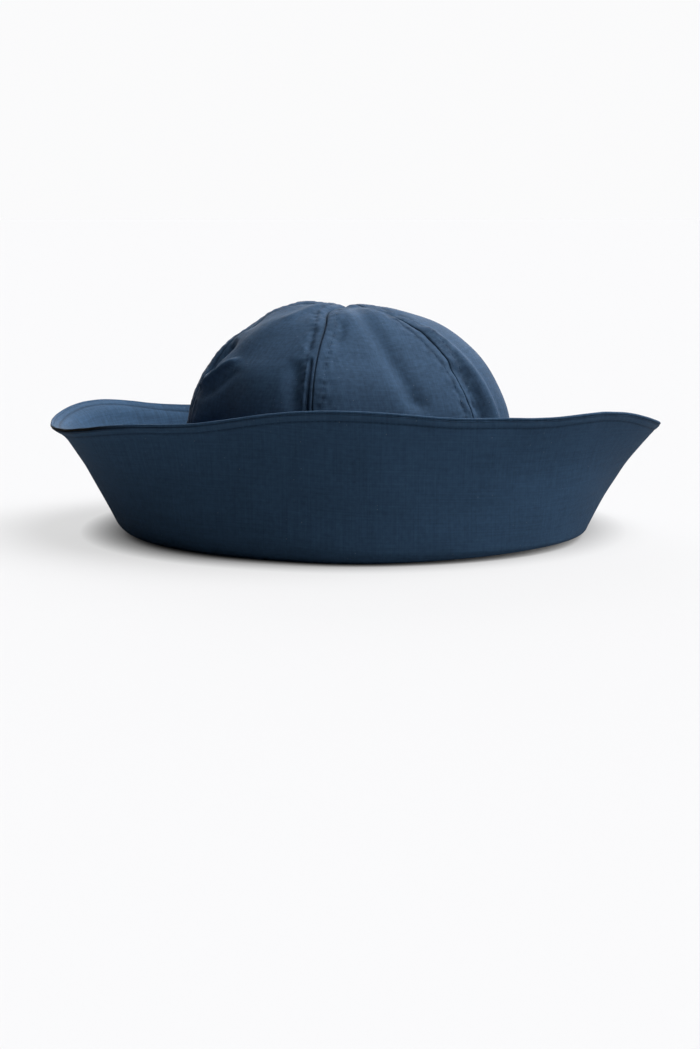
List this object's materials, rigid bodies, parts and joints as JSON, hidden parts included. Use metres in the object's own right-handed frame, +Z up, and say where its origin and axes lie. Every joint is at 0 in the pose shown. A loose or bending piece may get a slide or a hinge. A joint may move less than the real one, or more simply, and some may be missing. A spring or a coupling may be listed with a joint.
{
  "type": "sun hat",
  "caption": "Navy cotton sun hat with a domed crown sewn from tapered panels and a wide brim of two sewn layers, turned up all round so that it rests on the fold.",
  "frame": {"origin": "on the surface that the hat rests on, under the middle of the whole hat's box", "axes": "+Z up towards the crown's top, -Y towards the hat's front, +X to the right when the front is looked at; X is the hat's longest way"},
  "size_m": [0.3522, 0.2825, 0.1306],
  "materials": {
    "crown_cotton": "matt navy cotton twill with a slight sheen",
    "brim_upper_cotton": "matt navy cotton, the face that shows inside the turned-up brim",
    "brim_under_cotton": "matt navy cotton, the face that shows outside the turned-up brim"
  },
  "bodies": {
    "root": {"crown_panel_1": "crown_cotton", "crown_panel_2": "crown_cotton", "crown_panel_3": "crown_cotton", "crown_panel_4": "crown_cotton", "crown_panel_5": "crown_cotton", "crown_panel_6": "crown_cotton", "brim_upper": "brim_upper_cotton", "brim_under": "brim_under_cotton"}
  },
  "joints": []
}
